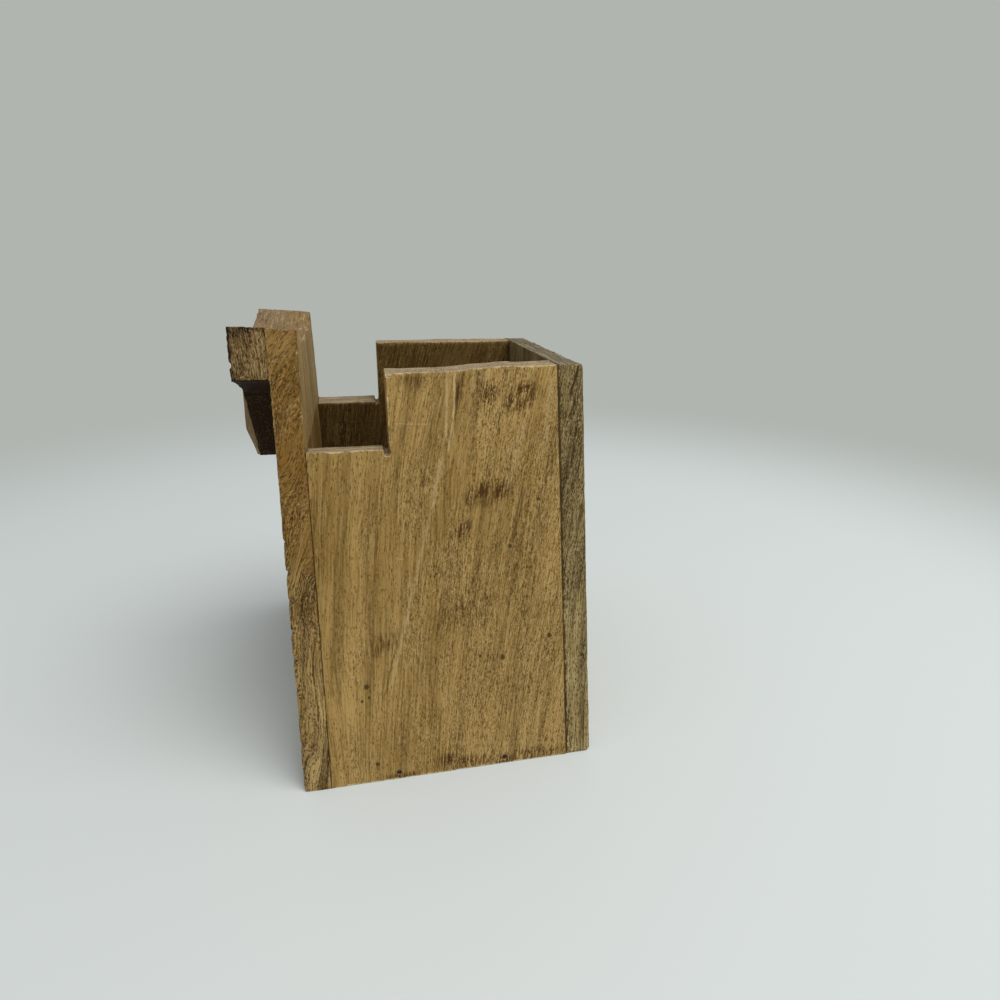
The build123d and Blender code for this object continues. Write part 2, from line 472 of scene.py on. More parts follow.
# Colour, bump height and roughness of old bare wood
def woodGroup():
    number, colour = "NodeSocketFloat", "NodeSocketColor"
    masks = grainMasks + ("Edge", "End", "Joint", "Tone", "Dark", "Light")
    amounts = ("Line Amount", "Edge Lines", "Pore Amount", "Fibre Amount", "Edge Fibre", "Crack Amount")
    inputs = [(title, number, 0.0) for title in masks + amounts + ("Wear Width",)]
    inputs += [("Vector", "NodeSocketVector", None), ("Marks", colour, (1, 0, 0, 1))]
    inputs += [(title, colour, (0.2, 0.13, 0.05, 1)) for title in woodColors]
    outputs = [("Color", colour), ("Height", number), ("Roughness", number)]
    group, start, end = newGroup("agedWood", inputs, outputs)
    # Stain and scorch carry real stains and charring, and also painted shade under the brow and inside the
    # well
    gap, stain, scorchAndShade = splitXyz(start["Marks"])

    paleness = times(ramp(start["Broad"], 0.35, 0.65), 0.6)
    paleness = calc("ADD", paleness, minus(start["Tone"], 0.3), clamp=True)
    color = blendColor(paleness, start["Base"], start["Pale"])

    def paint(amount, title):
        nonlocal color
        color = blendColor(amount, color, start[title])

    lined = calc("MULTIPLY_ADD", start["Edge"], start["Edge Lines"], start["Line Amount"])
    paint(times(ramp(start["Figure"], 0.42, 0.72, 0, 1.3), lined), "Deep")
    paint(times(start["Lines"], lined), "Deep")
    paint(times(start["Sheen"], times(lined, 0.4)), "Worn")
    paint(times(start["End"], 0.8), "End Tint")
    swing = calc("MULTIPLY_ADD", start["Edge"], start["Edge Fibre"], start["Fibre Amount"])
    swing = times(swing, minus(start["Fibre"], 0.5))
    darker = calc("MULTIPLY_ADD", calc("MINIMUM", swing, 0.0), 2.0, 1.0)
    shade = group.nodes.new("ShaderNodeHueSaturation")
    feed(shade.inputs["Value"], calc("MAXIMUM", darker, 0.25))
    feed(shade.inputs["Color"], color)
    color = shade.outputs["Color"]
    paint(times(swing, 1.1, clamp=True), "Worn")
    streaks = ramp(start["Mottle"], 0.34, 0.68, 0.2, 1.5)
    streaks = calc("ADD", streaks, ramp(start["Fibre"], 0.25, 0.75, 0.7, -0.7))
    paint(times(stain, streaks, clamp=True), "Stain")
    paint(times(start["Pores"], start["Pore Amount"]), "Pore")
    paint(times(start["Cracks"], start["Crack Amount"]), "Pore")
    endCrack = ramp(start["Ends"], 0.58, 0.68, 0, 0.75)
    endSplinter = ramp(start["Ends"], 0.44, 0.34, 0, 0.6)
    paint(times(start["End"], endCrack), "Pore")
    paint(times(start["End"], endSplinter), "Worn")
    rough = noiseFac(start["Vector"], 0.9, 4, 0.7)
    width = times(start["Wear Width"], ramp(rough, 0.35, 0.68, 0.1, 1.8))
    width = calc("DIVIDE", width, holder["wearReach"] / mm)
    wear = ramp(gap, width, times(width, 0.4), 0, 0.85)
    light = times(start["Light"], ramp(start["Fibre"], 0.3, 0.7, 0.6, 1.0))
    paint(calc("MAXIMUM", wear, light), "Worn")
    paint(start["Dark"], "Char")
    # Char from scorch: real charring on the brow's ends, painted shade under the brow and inside the well
    charAndShade = times(scorchAndShade, ramp(start["Fibre"], 0.7, 0.3, 0.5, 1.8), clamp=True)
    paint(calc("MAXIMUM", start["Joint"], charAndShade), "Char")
    feed(end["Color"], color)

    height = times(swing, 0.9)
    for title in ("Pores", "Cracks", "Joint", "Dark"):
        height = calc("MULTIPLY_ADD", start[title], -0.4, height)
    height = calc("MULTIPLY_ADD", start["Figure"], 0.2, height)
    feed(end["Height"], height)
    feed(end["Roughness"], calc("MULTIPLY_ADD", start["Fibre"], 0.25, 0.55))
    return group


# Dark glue line where the side boards meet the front and back boards
def jointGroup():
    number, vector = "NodeSocketFloat", "NodeSocketVector"
    inputs = [("Vector", vector, None), ("Normal", vector, None), ("Width", number, 0.4)]
    group, start, end = newGroup("glueLine", inputs, [("Mask", number)])
    y = splitXyz(start["Vector"])[1]
    rough = noiseFac(start["Vector"], 0.5, 3, 0.6)
    width = times(start["Width"], ramp(rough, 0.3, 0.7, 0.5, 1.5))
    joints = (innerFrontY / mm, innerBackY / mm)
    gaps = [calc("ABSOLUTE", minus(y, joint)) for joint in joints]
    gap = calc("DIVIDE", calc("MINIMUM", *gaps), width)
    line = ramp(gap, 1.0, 0.5, 0, 0.9)
    facing = calc("ABSOLUTE", splitXyz(start["Normal"])[1])
    feed(end["Mask"], times(line, ramp(facing, 0.9, 0.7)))
    return group


# Where a face shows the board's sawn edge, and where it shows end grain
def faceGroup():
    number, vector = "NodeSocketFloat", "NodeSocketVector"
    inputs = [(title, vector, None) for title in ("Normal", "Edge Axis", "End Axis")]
    group, start, end = newGroup("faceMasks", inputs, [("Edge", number), ("End", number)])
    for title, low, high in (("Edge", 0.5, 0.8), ("End", 0.6, 0.85)):
        along = vectorCalc("DOT_PRODUCT", start["Normal"], start[title + " Axis"])
        feed(end[title], ramp(calc("ABSOLUTE", along), low, high))
    return group


# Worm holes, dark veins, pale streaks and scratches of one outer face, by place along Y and Z (mm)
def blemishGroup(name, look):
    number, vector = "NodeSocketFloat", "NodeSocketVector"
    inputs = [("Vector", vector, None), ("Normal", vector, None)]
    group, start, end = newGroup(name, inputs, [("Dark", number), ("Light", number)])
    y, z = splitXyz(start["Vector"])[1:3]
    outside = ramp(splitXyz(start["Normal"])[0], 0.5, 0.8)
    sway = minus(noiseFac(start["Vector"], 0.35, 3, 0.6), 0.5)

    def spot(holeY, holeZ, radius):
        gapY = minus(y, holeY)
        gapZ = times(minus(z, holeZ), 0.85)
        gap = calc("ADD", times(gapY, gapY), times(gapZ, gapZ))
        gap = calc("MULTIPLY_ADD", sway, radius, calc("SQRT", gap))
        return ramp(gap, 1.2 * radius, 0.5 * radius, 0, 0.9)

    def streak(startY, startZ, endY, endZ, width, strength):
        length = math.hypot(endY - startY, endZ - startZ)
        alongY, alongZ = (endY - startY) / length, (endZ - startZ) / length
        gapY, gapZ = minus(y, startY), minus(z, startZ)
        along = calc("MULTIPLY_ADD", gapY, alongY, times(gapZ, alongZ))
        across = calc("MULTIPLY_ADD", gapY, -alongZ, times(gapZ, alongY))
        across = calc("ABSOLUTE", calc("MULTIPLY_ADD", sway, 0.9, across))
        fade = 0.15 * length
        begins, ends = ramp(along, 0, fade), ramp(along, length, length - fade)
        line = ramp(across, width, 0.2 * width, 0, strength)
        return times(line, times(begins, ends))

    dark, light = 0.0, 0.0
    for hole in look["holes"]:
        dark = calc("MAXIMUM", spot(*hole), dark)
    for line in look["darkStreaks"]:
        dark = calc("MAXIMUM", streak(*line), dark)
    for line in look["paleStreaks"]:
        light = calc("MAXIMUM", streak(*line), light)
    feed(end["Dark"], times(dark, outside))
    feed(end["Light"], times(light, outside))
    return group


woodColors = ("Pale", "Base", "Deep", "Stain", "Worn", "Pore", "End Tint", "Char")
boardGrain = grainGroup()
agedWood = woodGroup()
glueLine = jointGroup()
faceMasks = faceGroup()


def bareMaterial(name):
    material = bpy.data.materials.new(name)
    material.use_nodes = True
    nodes = material.node_tree.nodes
    return material, nodes["Principled BSDF"], nodes.new("ShaderNodeTexCoord").outputs


def woodMaterial(name, look):
    material, shader, coords = bareMaterial(name)
    tree, normal = material.node_tree, coords["Normal"]
    inMm = vectorCalc("MULTIPLY", coords["Object"], (1 / mm, 1 / mm, 1 / mm))
    turn = tree.nodes.new("ShaderNodeMapping")
    feed(turn.inputs["Vector"], inMm)
    turn.inputs["Location"].default_value = look["grainOffset"]
    turn.inputs["Rotation"].default_value = [math.radians(angle) for angle in look["grainTurn"]]
    marks = tree.nodes.new("ShaderNodeAttribute")
    marks.attribute_name = "marks"
    axes = {"Normal": normal, "Edge Axis": look["edgeAxis"], "End Axis": look["endAxis"]}
    faces = useGroup(tree, faceMasks, axes)
    grain = useGroup(tree, boardGrain, {"Vector": turn.outputs[0], "Edge": faces["Edge"], **look["grain"]})
    joint = useGroup(tree, glueLine, {"Vector": inMm, "Normal": normal, "Width": look["glueWidth"]})
    values = {output.name: output for output in grain}
    values.update(Edge=faces["Edge"], End=faces["End"], Joint=joint["Mask"], Vector=inMm)
    values.update(Marks=marks.outputs["Color"], Tone=marks.outputs["Alpha"])
    values.update(look["amounts"])
    for title, color in zip(woodColors, look["colors"]):
        values[title] = (*color, 1)
    if "blemishes" in look:
        blemishes = useGroup(tree, look["blemishes"], {"Vector": inMm, "Normal": normal})
        values.update(Dark=blemishes["Dark"], Light=blemishes["Light"])
    wood = useGroup(tree, agedWood, values)
    feed(shader.inputs["Base Color"], wood["Color"])
    feed(shader.inputs["Roughness"], wood["Roughness"])
    bump = tree.nodes.new("ShaderNodeBump")
    bump.inputs["Strength"].default_value = look["bump"]
    bump.inputs["Distance"].default_value = holder["bumpReach"]
    feed(bump.inputs["Height"], wood["Height"])
    feed(shader.inputs["Normal"], bump.outputs[0])
    shader.inputs["Specular IOR Level"].default_value = holder["gloss"]
    return material


# Side boards: modelled upright, with the outer face at x = 0, then leaned.
# Colours of every wood are in the order of woodColors.
sideBoard = {
    "kerfWidth": 1.0 * mm,  # saw cut that ran past the notch's inner corner
    "kerfDepth": 1.5 * mm,
    "pinEnd": 15.6 * mm,  # pin to the inner faces of front and back
    "pinHole": 0.63 * mm,  # radius
    "voxel": 0.38 * mm,
    "softness": 0.35,
    "arrisReach": 0.9 * mm,
    "jointCalm": 4.0 * mm,  # arrises at a glued joint are less chipped, up to this far
    "wave": 0.07 * mm,
    "ripple": 0.05 * mm,
    "chip": 0.32 * mm,
    "sawMarks": 0.3 * mm,
    "joints": [(innerFrontY, 0, earTop), (innerBackY, 0, earTop)],
    "glueWidth": 0.12,
    "edgeAxis": (0, 0, 0),
    "endAxis": (0, 0, 1),
    "grain": {
        "Slant": 0.13,
        "Bend": 0.0009,
        "Taper": -0.003,
        "Wander": 5.0,
        "Pore Density": -0.3,
        "Calm": 0.006,
    },
    "colors": [
        (0.43, 0.27, 0.085),
        (0.275, 0.162, 0.04),
        (0.135, 0.074, 0.014),
        (0.07, 0.03, 0.005),
        (0.56, 0.42, 0.22),
        (0.085, 0.046, 0.01),
        (0.27, 0.212, 0.145),
        # Char, also used for the painted shade on the inner faces
        (0.055, 0.03, 0.009),
    ],
    "amounts": {
        "Line Amount": 0.5,
        "Pore Amount": 0.7,
        "Fibre Amount": 1.4,
        "Crack Amount": 0.1,
        "Wear Width": 0.35,
    },
    "bump": 0.45,
    "tone": 0.4,  # halfway up; the wood is paler towards top and foot
    "toneMiddle": 55 * mm,
    "toneReach": 50 * mm,
    "tonePitch": 0.07,
    "cloud": 0.35,
    # Painted shade on the inner faces: scorch and a darker tone
    "insidePaintedShade": 0.35,
    "wellPaintedShade": 0.2,  # more of it down in the well
    "wellShadeStart": 86 * mm,
    "wellShadeEnd": 74 * mm,
    "insideShadeTone": -0.5,
    "stainSlant": 0.2,
    "stainEdge": (1.5, 0.3),
}
# Wear of the right-hand wall: its top dips towards the notch and has lost a splinter at the corner
rightWear = {
    "sag": 0.85 * mm,
    "sagStart": 22.0 * mm,
    "sagEnd": 5.0 * mm,
    "sagReach": 3.0 * mm,
    "chipPlace": -4.9 * mm,
    "chipHalf": 1.1 * mm,
    "chipDepth": 0.8 * mm,
    "chipReach": 2.2 * mm,
    "pocket": 0.75 * mm,  # round end of the saw cut, radius
    "pocketDrop": 0.75 * mm,
}
# Holes: y, z, radius. Streaks: y and z of both ends, width, strength. All in millimetres.
rightBlemishes = {
    "holes": [
        (-13.9, 23.2, 0.65),
        (-15.1, 19.9, 0.35),
        (-13.5, 20.6, 0.35),
        (18.4, 26.6, 0.7),
        (30.0, 30.7, 0.6),
        (21.1, 53.0, 0.5),
        (28.2, 63.5, 0.45),
        (12.9, 27.5, 0.4),
        (-12.5, 4.3, 0.5),
    ],
    "darkStreaks": [
        (25.4, 67.0, 21.5, 53.0, 0.4, 0.6),
        (24.6, 67.0, 20.2, 50.0, 0.35, 0.45),
        (23.0, 50.0, 15.0, 18.9, 0.5, 0.35),
        (32.2, 73.5, 31.2, 68.0, 0.3, 0.6),
        (-6.0, 34.5, -10.2, 19.5, 0.35, 0.5),
        (10.4, 92.0, 9.2, 78.0, 0.35, 0.35),
    ],
    "paleStreaks": [
        (9.85, 93.3, 9.0, 81.4, 0.35, 0.75),
        (9.0, 82.5, 7.4, 74.5, 0.3, 0.65),
        (8.2, 92.5, 7.2, 77.0, 0.4, 0.5),
        (6.2, 75.0, 3.0, 62.0, 0.9, 0.4),
        (3.4, 64.0, -9.0, 20.0, 0.6, 0.35),
        (26.0, 82.0, 20.5, 66.0, 1.4, 0.16),
        (32.6, 92.0, 29.5, 72.0, 1.0, 0.2),
        (-5.5, 33.0, -9.0, 21.0, 0.4, 0.3),
        (-4.6, 81.9, 3.8, 81.5, 0.2, 0.4),
        (-5.7, 52.4, -3.4, 52.0, 0.2, 0.35),
    ],
}
# Stains on the outer faces: y, z, reach in y, reach in z (mm), strength
leftStains = [
    (-8.0, 71.0, 3.0, 2.4, 0.7),
    (12.0, 50.0, 4.0, 3.0, 0.5),
    (22.0, 18.0, 2.0, 3.0, 0.7),
    (-14.0, 1.2, 4.0, 1.4, 0.8),
    (16.0, 1.0, 5.0, 1.5, 0.8),
]
rightStains = [
    (17.2, 87.8, 2.4, 2.6, 0.75),
    (10.6, 88.0, 1.0, 3.4, 0.75),
    (22.1, 86.0, 0.9, 2.8, 1.0),
    (26.2, 87.6, 3.0, 2.4, 0.9),
    (24.5, 85.0, 2.4, 1.6, 0.6),
    (15.0, 66.2, 1.8, 2.2, 0.9),
    (19.5, 66.2, 2.6, 2.4, 0.9),
    (12.2, 64.8, 1.6, 2.0, 0.75),
    (16.0, 63.8, 4.0, 1.5, 0.5),
    (9.9, 57.6, 2.2, 2.0, 0.8),
    (11.2, 39.0, 6.0, 5.0, 0.45),
    (5.0, 37.5, 4.0, 4.0, 0.35),
    (-9.6, 32.8, 3.0, 3.0, 0.6),
    (-6.0, 34.0, 4.0, 2.0, 0.35),
    (1.0, 91.2, 4.0, 2.0, 0.5),
    (3.6, 2.8, 2.6, 2.2, 0.9),
    (8.6, 1.8, 3.2, 1.6, 0.9),
    (17.5, 0.8, 2.5, 1.3, 0.8),
    (13.0, 1.4, 4.0, 1.8, 0.5),
    (25.0, 1.2, 7.0, 1.8, 0.65),
    (-7.0, 0.6, 5.0, 0.9, 0.7),
]


def sideMarks(place, normal, stains):
    look, spot = sideBoard, place / mm
    tone = look["tone"] + 0.4 * abs(place.z - look["toneMiddle"]) / look["toneReach"]
    tone += look["cloud"] * noise.noise(spot * look["tonePitch"])
    # Painted shade: the inner faces are scorched and darkened, more so down in the well
    if normal.x < -0.5:
        deep = easeIn(place.z, look["wellShadeStart"], look["wellShadeEnd"])
        return 0.0, look["insidePaintedShade"] + look["wellPaintedShade"] * deep, tone + look["insideShadeTone"]
    stain = 0.0
    for y, z, reachY, reachZ, strength in stains:
        slanted = spot.y - y - look["stainSlant"] * (spot.z - z)
        gap = math.hypot(slanted / reachY, (spot.z - z) / reachZ)
        stain = max(stain, strength * easeIn(gap, *look["stainEdge"]))
    return stain, 0.0, tone


def wornTop(place, normal):
    look = rightWear
    nearTop = easeIn(place.z, wallTop - look["sagReach"], wallTop)
    drop = look["sag"] * easeIn(place.y, look["sagStart"], look["sagEnd"])
    aside = min(1.0, abs(place.y - look["chipPlace"]) / look["chipHalf"])
    drop += look["chipDepth"] * (1 - aside ** 3) * easeIn(place.x, -look["chipReach"], 0)
    return Vector((0, 0, -drop * nearTop))


def makeSide(name, node, side, settings, shape=None):
    look = dict(sideBoard, grainTurn=(0, side * holder["leanDegrees"], -90), **settings)
    board = sawnBlock(name, (-sideWall, innerFrontY, 0), (0, innerBackY, wallTop))
    past = 2 * sideWall
    notchLow = (-past, innerFrontY - past, notchFloorZ)
    notch = sawnBlock("notchCut", notchLow, (past, notchStepY, wallTop + past))
    for vertex in notch.data.vertices:
        if vertex.co.z < wallTop:
            vertex.co.z += vertex.co.x * math.tan(math.radians(holder["notchFall"]))
    cutAway(board, notch)
    kerfLow = (-past, notchStepY - look["kerfWidth"], notchFloorZ - look["kerfDepth"])
    cutAway(board, sawnBlock("kerfCut", kerfLow, (past, notchStepY, notchFloorZ + look["kerfDepth"])))
    if shape:
        pocketY, pocketZ = notchStepY - look["kerfWidth"] / 2, notchFloorZ - rightWear["pocketDrop"]
        boreHole(board, rightWear["pocket"], pocketY, pocketZ)
    arrises = arrisTree(board)
    fineMesh(board, look)
    for pinY in (innerFrontY + look["pinEnd"], innerBackY - look["pinEnd"]):
        boreHole(board, look["pinHole"], pinY, baseHigh.z / 2)
    marks = lambda place, normal, cut: sideMarks(place, normal, look["stains"])
    weather(board, arrises, look, shape, marks)
    for vertex in board.data.vertices:
        vertex.co.x = side * (vertex.co.x + halfWidth(vertex.co.z))
    if side < 0:
        editAll(board)
        bpy.ops.mesh.normals_make_consistent(inside=False)
        bpy.ops.object.mode_set(mode="OBJECT")
    finishPiece(board, node, woodMaterial(name + "Wood", look))


rightSettings = {
    "seed": 3.1,
    "grainOffset": (4.0, 11.0, -46.0),
    "stains": rightStains,
    "blemishes": blemishGroup("rightBlemishes", rightBlemishes),
}
leftSettings = {"seed": 7.7, "grainOffset": (8.0, 57.0, -40.0), "stains": leftStains}
makeSide("rightSide", "right_side_board", 1, rightSettings, wornTop)
makeSide("leftSide", "left_side_board", -1, leftSettings)

# What front board, back board and brow share
uprightWood = {
    "grainTurn": (0, 0, 0),
    "edgeAxis": (1, 0, 0),
    "endAxis": (0, 0, 1),
}
gougeHalf = 0.85 * mm
gougeDepth = 0.9 * mm

# Front board: tall trapezoid with two ears, feather rows and eyes gouged in its face
frontBoard = {
    **uprightWood,
    "rows": 8,
    "feathersPerHalf": 5.25,
    "firstRow": 10.9 * mm,
    "rowPitch": 6.6 * mm,
    "featherAngle": 34.0,  # degrees each side of a feather's tip
    "runOut": 0.5,  # share deeper where a gouge leaves the board
    "runOutReach": 2.5 * mm,
    "footTone": 0.9,
    "toneFall": 1.6,  # darker with height, up to toneStop of it
    "toneStop": 0.51,
    "innerToneAndLight": 1.0,
    "faceTone": 0.6,
    "cloud": 0.4,
    "gougeDarkening": 1.6,
    "cutStart": 0.15 * mm,
    "eyeSpread": 19.0 * mm,
    "eyeDrop": 25.5 * mm,
    "eyeRings": (8.6 * mm, 5.4 * mm),
    "pupil": 2.2 * mm,
    "pupilDepth": 1.2 * mm,
    "voxel": 0.44 * mm,
    "softness": 0.4,
    "arrisReach": 0.9 * mm,
    "jointCalm": 4.0 * mm,
    "wave": 0.08 * mm,
    "ripple": 0.06 * mm,
    "chip": 0.35 * mm,
    "sawMarks": 0.15 * mm,
    "seed": 12.3,
    "joints": [(innerFrontY, 0, notchFloorZ), (frontFaceY, browFoot, 2 * earTop)],
    "glueWidth": 0.22,
    "grainOffset": (0.0, 21.0, 0.0),
    "grain": {
        "Taper": leanRun / footHalf * mm,
        "Dive": 0.12,
        "Turn": 0.3,
        "Turn Start": 45.0,
        "Curl": 5.0,
        "Wander": 3.0,
        "Pore Density": 0.0,
        "Fade": 0.6,
    },
    "colors": [
        (0.5, 0.33, 0.12),
        (0.22, 0.112, 0.021),
        (0.085, 0.043, 0.009),
        (0.045, 0.024, 0.008),
        (0.48, 0.35, 0.17),
        (0.065, 0.034, 0.006),
        (0.29, 0.185, 0.085),
        (0.05, 0.027, 0.009),
    ],
    "amounts": {
        "Line Amount": 0.6,
        "Edge Lines": 0.25,
        "Pore Amount": 0.85,
        "Fibre Amount": 1.2,
        "Edge Fibre": 0.6,
        "Crack Amount": 0.35,
        "Wear Width": 0.22,
    },
    "bump": 0.7,
}


def gouge(gap):
    return gougeDepth * max(0.0, 1 - gap / gougeHalf)


# Wood in front of a gouge's bottom goes, at the board's edges too, where the gouges run out
def frontCarving(place, normal):
    look = frontBoard
    if place.y > frontFaceY + 2 * gougeDepth:
        return Vector()
    deepest = 0.0
    for row in range(look["rows"]):
        height = look["firstRow"] + row * look["rowPitch"]
        if not -2 * mm < place.z - height < look["rowPitch"]:
            continue
        width = halfWidth(height) / look["feathersPerHalf"]
        bend = width / (2 * math.sin(math.radians(look["featherAngle"])))
        across = ((place.x / width - row % 2 / 2 + 0.5) % 1 - 0.5) * width
        if place.z < height + bend * 0.4:
            gap = abs(math.hypot(across, place.z - height - bend) - bend)
            deepest = max(deepest, gouge(gap))
    fromEye = math.hypot(abs(place.x) - look["eyeSpread"], place.z - earTop + look["eyeDrop"])
    for radius in look["eyeRings"]:
        deepest = max(deepest, gouge(abs(fromEye - radius)))
    if fromEye < look["pupil"]:
        deepest = max(deepest, look["pupilDepth"] * min(1, (look["pupil"] - fromEye) / (0.5 * mm)))
    deepest *= 0.9 + 0.35 * noise.noise(place / mm * 0.4)
    rim = halfWidth(place.z)
    deepest *= 1 + look["runOut"] * easeIn(abs(place.x), rim - look["runOutReach"], rim)
    return Vector((0, max(0.0, frontFaceY + deepest - place.y), 0))


def frontMarks(place, normal, cut):
    look, spot = frontBoard, place / mm
    tone = look["footTone"] - look["toneFall"] * min(look["toneStop"], place.z / earTop)
    tone += look["cloud"] * noise.noise(spot * 0.12)
    # The tower's back face above the notch floor is pale: partly the wood's tone, partly painted light
    if normal.y > 0.5 and place.z > notchFloorZ:
        tone = look["innerToneAndLight"]
    if normal.y < -0.3:
        tone = look["faceTone"] + look["cloud"] * noise.noise(spot * 0.06)
    # Darker the deeper a gouge cuts
    return look["gougeDarkening"] * max(0.0, cut.y - look["cutStart"]) / gougeDepth, 0.0, tone


board = sawnBlock("frontBoard", (-footHalf, frontFaceY, 0), (footHalf, innerFrontY, earTop))
leanCuts(board, footHalf)
shapeCrown(board)
arrises = arrisTree(board)
fineMesh(board, frontBoard)
weather(board, arrises, frontBoard, frontCarving, frontMarks)
finishPiece(board, "front_board", woodMaterial("frontWood", frontBoard))

# Back board: plain trapezoid, outer arrises worn round
backBoard = {
    **uprightWood,
    "round": 0.6 * mm,
    "footTone": 0.75,
    "toneFall": 0.75,
    "cloud": 0.35,
    "stain": 0.55,  # along the joint, stronger towards the top
    "stainWidth": 1.8 * mm,
    "stainStart": 40 * mm,
    "voxel": 0.46 * mm,
    "softness": 0.5,
    "arrisReach": 1.2 * mm,
    "jointCalm": 4.0 * mm,
    "wave": 0.09 * mm,
    "ripple": 0.06 * mm,
    "chip": 0.3 * mm,
    "sawMarks": 0.2 * mm,
    "seed": 21.9,
    "joints": [(innerBackY, 0, earTop)],
    "glueWidth": 0.65,
    "grainOffset": (0.0, 3.0, 0.0),
    "grain": {
        "Taper": leanRun / footHalf * mm,
        "Dive": 0.05,
        "Turn": 0.25,
        "Turn Start": 45.0,
        "Curl": 1.5,
        "Wander": 3.0,
        "Pore Density": 0.2,
    },
    "colors": [
        (0.65, 0.485, 0.21),
        (0.27, 0.185, 0.062),
        (0.08, 0.052, 0.016),
        (0.08, 0.038, 0.011),
        (0.4, 0.33, 0.2),
        (0.05, 0.031, 0.01),
        (0.15, 0.125, 0.085),
        (0.05, 0.03, 0.01),
    ],
    "amounts": {
        "Line Amount": 0.5,
        "Edge Lines": 0.2,
        "Pore Amount": 0.8,
        "Fibre Amount": 1.2,
        "Edge Fibre": 0.8,
        "Crack Amount": 0.25,
        "Wear Width": 0.25,
    },
    "bump": 0.7,
}
# Checks in the back board's right edge and a worm hole, as for the side board
backBlemishes = {
    "holes": [(38.2, 24.9, 0.45)],
    "darkStreaks": [
        (39.1, 94.0, 36.3, 86.0, 0.55, 0.95),
        (38.0, 86.5, 36.2, 81.5, 0.4, 0.8),
        (39.6, 92.5, 37.7, 82.5, 0.3, 0.6),
        (38.1, 81.0, 36.2, 69.5, 0.4, 0.75),
        (39.4, 78.0, 37.8, 67.0, 0.3, 0.5),
        (36.8, 60.5, 35.5, 53.0, 0.35, 0.7),
        (38.6, 62.0, 37.2, 52.0, 0.3, 0.5),
    ],
    "paleStreaks": [],
}
backBoard["blemishes"] = blemishGroup("backBlemishes", backBlemishes)


def backMarks(place, normal, cut):
    look, spot = backBoard, place / mm
    tone = look["footTone"] - place.z / wallTop * look["toneFall"]
    tone += look["cloud"] * noise.noise(spot * 0.12)
    stain = 0.0
    if abs(normal.x) > 0.5:
        beside = max(0.0, 1 - (place.y - innerBackY) / look["stainWidth"])
        stain = look["stain"] * beside * easeIn(place.z, look["stainStart"], wallTop)
    return stain, 0.0, tone


board = sawnBlock("backBoard", (-footHalf, innerBackY, 0), (footHalf, backFaceY, wallTop))
leanCuts(board, footHalf)
arrises = arrisTree(board)
pickVerts(board, lambda co: co.y > backFaceY - tiny)
bpy.ops.mesh.bevel(offset=backBoard["round"], segments=4, affect="EDGES")
bpy.ops.object.mode_set(mode="OBJECT")
fineMesh(board, backBoard)
weather(board, arrises, backBoard, marks=backMarks)
finishPiece(board, "back_board", woodMaterial("backWood", backBoard))

# Floor panel
floorBoard = {
    "voxel": 0.6 * mm,
    "softness": 0.5,
    "arrisReach": 1.2 * mm,
    "jointCalm": 4.0 * mm,
    "wave": 0.06 * mm,
    "ripple": 0.05 * mm,
    "chip": 0.3 * mm,
    "sawMarks": 0.1 * mm,
    "seed": 33.3,
    "joints": [],
    "glueWidth": 0.2,
    "grainOffset": (5.0, 9.0, 3.0),
    "grainTurn": (0, 90, 0),
    "edgeAxis": (0, 0, 0),
    "endAxis": (1, 0, 0),
    "grain": {"Slant": 0.03, "Wander": 5.0},
    "colors": [
        (0.25, 0.185, 0.085),
        (0.17, 0.12, 0.05),
        (0.08, 0.055, 0.02),
        (0.06, 0.035, 0.014),
        (0.3, 0.22, 0.12),
        (0.045, 0.028, 0.01),
        (0.2, 0.15, 0.09),
        (0.03, 0.017, 0.007),
    ],
    "amounts": {
        "Line Amount": 0.5,
        "Pore Amount": 0.6,
        "Fibre Amount": 1.4,
        "Crack Amount": 0.3,
        "Wear Width": 0.3,
    },
    "bump": 0.7,
}
board = sawnBlock("floorBoard", (-footHalf, innerFrontY, 0), (footHalf, innerBackY, baseHigh.z))
leanCuts(board, baseHigh.x)
arrises = arrisTree(board)
fineMesh(board, floorBoard)
weather(board, arrises, floorBoard)
finishPiece(board, "base_board", woodMaterial("floorWood", floorBoard))

